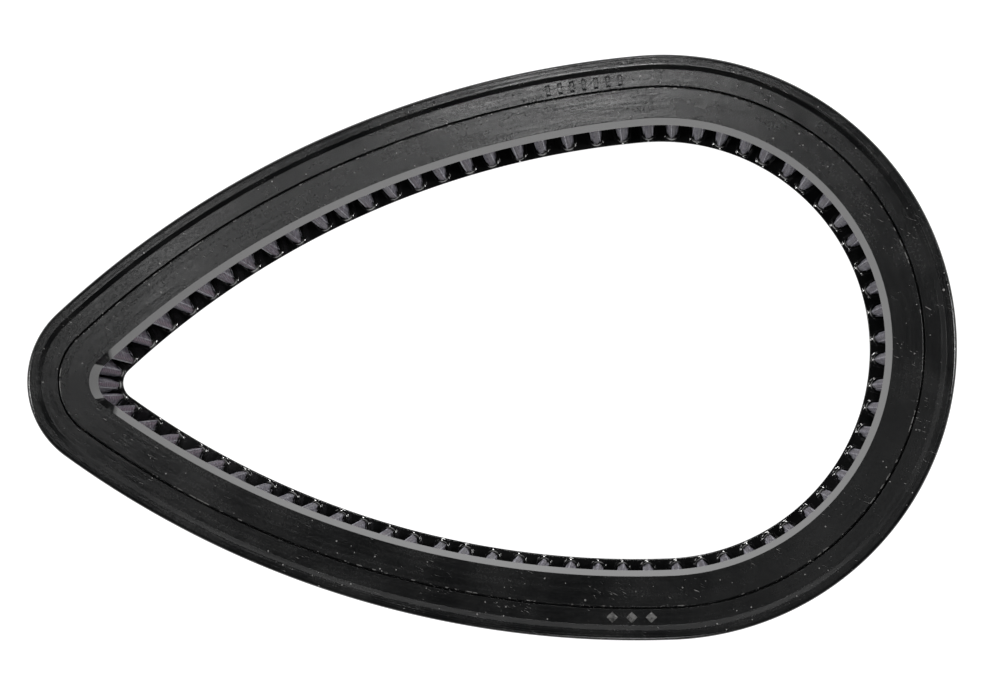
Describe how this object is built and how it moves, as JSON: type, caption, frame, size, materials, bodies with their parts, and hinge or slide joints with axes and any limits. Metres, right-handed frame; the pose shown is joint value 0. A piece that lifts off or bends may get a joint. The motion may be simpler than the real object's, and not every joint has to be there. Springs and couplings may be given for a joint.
{
  "type": "pleated air filter element",
  "caption": "Teardrop ring air-filter element: pleated gauze between wire screens, moulded into two rubber end seals.",
  "frame": {"origin": "middle of the outline on the rear sealing face", "axes": "+Z along the air opening from the rear to the front sealing face, +X from the small end to the large end"},
  "size_m": [0.23, 0.144, 0.035],
  "materials": {
    "seal_rubber": "semi-gloss black moulded rubber",
    "wire_screen": "fine bright wire mesh",
    "gauze": "woven cotton gauze, pale lavender grey",
    "seam_glue": "glossy black glue"
  },
  "bodies": {
    "root": {"front_seal": "seal_rubber", "rear_seal": "seal_rubber", "outer_screen": "wire_screen", "inner_screen": "wire_screen", "gauze_layer_1": "gauze", "gauze_layer_2": "gauze", "gauze_layer_3": "gauze", "gauze_layer_4": "gauze", "seam_bead": "seam_glue"}
  },
  "joints": []
}
